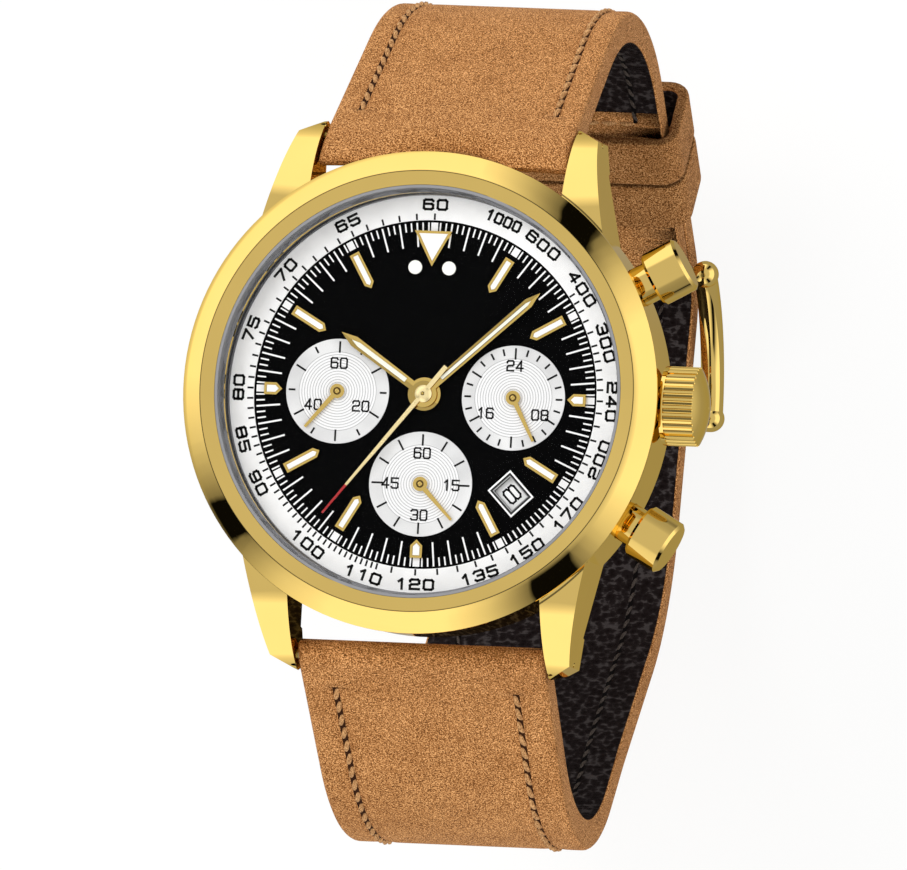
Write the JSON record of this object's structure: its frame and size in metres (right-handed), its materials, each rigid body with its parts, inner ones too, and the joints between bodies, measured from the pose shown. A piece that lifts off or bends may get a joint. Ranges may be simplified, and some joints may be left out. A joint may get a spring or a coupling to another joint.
{
  "type": "chronograph wristwatch",
  "caption": "Chronograph wristwatch with a polished gold-tone case, black dial with silver sub-dials, crown and pushers, and a tan leather strap closed by a pin buckle.",
  "frame": {"origin": "centre of the outer face of the case back", "axes": "+X towards the crown at 3 o'clock, +Y towards 12 o'clock, +Z out of the dial"},
  "size_m": [0.0457, 0.0738, 0.0736],
  "materials": {
    "gold": "polished gold plating",
    "steel": "satin",
    "battery_steel": "bright",
    "silver": "silvered with fine concentric grooves",
    "crystal": "polished mineral glass",
    "gasket_white": "plain",
    "print_white": "matt lacquer",
    "lume": "luminous paste",
    "dial_black": "semi-gloss lacquer",
    "rubber": "plain",
    "movement_brass": "machined",
    "board": "solder mask",
    "copper": "enamelled wire",
    "tan_leather": "nubuck with fine grain",
    "lining_leather": "smooth dark grain"
  },
  "bodies": {
    "case": {"mid_case": "gold", "bezel": "gold", "crystal": "crystal", "crystal_gasket": "gasket_white", "rehaut": "steel", "tachymeter_ring": "print_white", "dial": "dial_black", "subdial_discs": "silver", "hour_markers": "gold", "marker_lume": "lume", "date_frame": "print_white", "case_back": "steel", "case_back_gasket": "rubber", "movement_holder": "gasket_white", "main_plate": "movement_brass", "battery": "battery_steel", "circuit_board": "board", "motor_coils": "copper", "movement_cover": "steel", "movement_screws": "steel", "crown_tube": "gold", "pusher_tubes": "gold", "lug_spring_bars": "steel", "strap_upper_leather": "tan_leather", "strap_upper_lining": "lining_leather", "strap_lower_leather": "tan_leather", "strap_lower_lining": "lining_leather", "fixed_keeper": "tan_leather", "buckle_bar": "steel"},
    "setting_works": {"setting_pinion": "steel"},
    "crown": {"crown": "gold", "crown_stem": "steel", "crown_gasket": "rubber"},
    "start_pusher": {"start_pusher": "gold", "start_spring": "steel", "start_clip": "steel"},
    "reset_pusher": {"reset_pusher": "gold", "reset_spring": "steel", "reset_clip": "steel"},
    "minute": {"minute_hand": "gold", "minute_hand_lume": "lume", "cannon_pinion": "steel"},
    "hour": {"hour_hand": "gold", "hour_hand_lume": "lume", "hour_wheel": "movement_brass"},
    "minute_wheel": {"minute_wheel": "movement_brass"},
    "chrono_second": {"chrono_second_hand": "gold", "chrono_second_arbor": "steel"},
    "chrono_minute": {"chrono_minute_hand": "gold", "chrono_minute_arbor": "steel"},
    "small_second": {"small_second_hand": "gold", "small_second_arbor": "steel"},
    "day": {"day_hand": "gold", "day_arbor": "steel"},
    "date": {"date_disc": "print_white"},
    "free_keeper": {"free_keeper": "tan_leather"},
    "buckle_frame": {"buckle_frame": "gold"},
    "buckle_prong": {"buckle_prong": "gold"}
  },
  "joints": [
    {"name": "crown_turn", "type": "hinge", "parent": "case", "child": "setting_works", "pos_m": [0.0139, 0, 0.0049], "axis": [1, 0, 0], "continuous": true},
    {"name": "crown_pull", "type": "slide", "parent": "setting_works", "child": "crown", "axis": [1, 0, 0], "range_m": [0, 0.0012]},
    {"name": "start_press", "type": "slide", "parent": "case", "child": "start_pusher", "axis": [-0.8704, -0.4924, 0], "range_m": [0, 0.0008], "stiffness_N_per_m": 2000, "springref_m": -0.0005, "deforming": ["start_spring"]},
    {"name": "reset_press", "type": "slide", "parent": "case", "child": "reset_pusher", "axis": [-0.8704, 0.4924, 0], "range_m": [0, 0.0008], "stiffness_N_per_m": 2000, "springref_m": -0.0005, "deforming": ["reset_spring"]},
    {"name": "minute_hand_turn", "type": "hinge", "parent": "case", "child": "minute", "pos_m": [0, 0, 0.008], "axis": [0, 0, -1], "continuous": true},
    {"name": "hour_hand_turn", "type": "hinge", "parent": "case", "child": "hour", "pos_m": [0, 0, 0.008], "axis": [0, 0, -1], "continuous": true},
    {"name": "minute_wheel_turn", "type": "hinge", "parent": "case", "child": "minute_wheel", "pos_m": [0, 0.003, 0.006], "axis": [0, 0, -1], "continuous": true},
    {"name": "day_hand_turn", "type": "hinge", "parent": "case", "child": "day", "pos_m": [0.0078, 0, 0.0072], "axis": [0, 0, -1], "continuous": true},
    {"name": "date_disc_turn", "type": "hinge", "parent": "case", "child": "date", "pos_m": [0, 0, 0.0068], "axis": [0, 0, -1], "continuous": true},
    {"name": "small_second_turn", "type": "hinge", "parent": "case", "child": "small_second", "pos_m": [0, -0.0078, 0.0072], "axis": [0, 0, -1], "continuous": true},
    {"name": "chrono_second_turn", "type": "hinge", "parent": "case", "child": "chrono_second", "pos_m": [0, 0, 0.0088], "axis": [0, 0, -1], "continuous": true},
    {"name": "chrono_minute_turn", "type": "hinge", "parent": "case", "child": "chrono_minute", "pos_m": [-0.0078, 0, 0.0072], "axis": [0, 0, -1], "continuous": true},
    {"name": "keeper_slide", "type": "slide", "parent": "case", "child": "free_keeper", "axis": [0, 0.6691, 0.7431], "range_m": [0, 0.004]},
    {"name": "buckle_swing", "type": "hinge", "parent": "case", "child": "buckle_frame", "pos_m": [0, 0.01627, -0.05395], "axis": [1, 0, 0], "range_deg": [0, 4]},
    {"name": "prong_lift", "type": "hinge", "parent": "buckle_frame", "child": "buckle_prong", "pos_m": [0, 0.01627, -0.05395], "axis": [1, 0, 0], "range_deg": [0, 6]}
  ],
  "couplings": [
    {"joint": "hour_hand_turn", "follows": "minute_hand_turn", "ratio": 0.083333},
    {"joint": "minute_wheel_turn", "follows": "minute_hand_turn", "ratio": -0.33333},
    {"joint": "day_hand_turn", "follows": "minute_hand_turn", "ratio": 0.041667},
    {"joint": "date_disc_turn", "follows": "minute_hand_turn", "ratio": 0.0013441},
    {"joint": "chrono_minute_turn", "follows": "chrono_second_turn", "ratio": 0.016667}
  ]
}
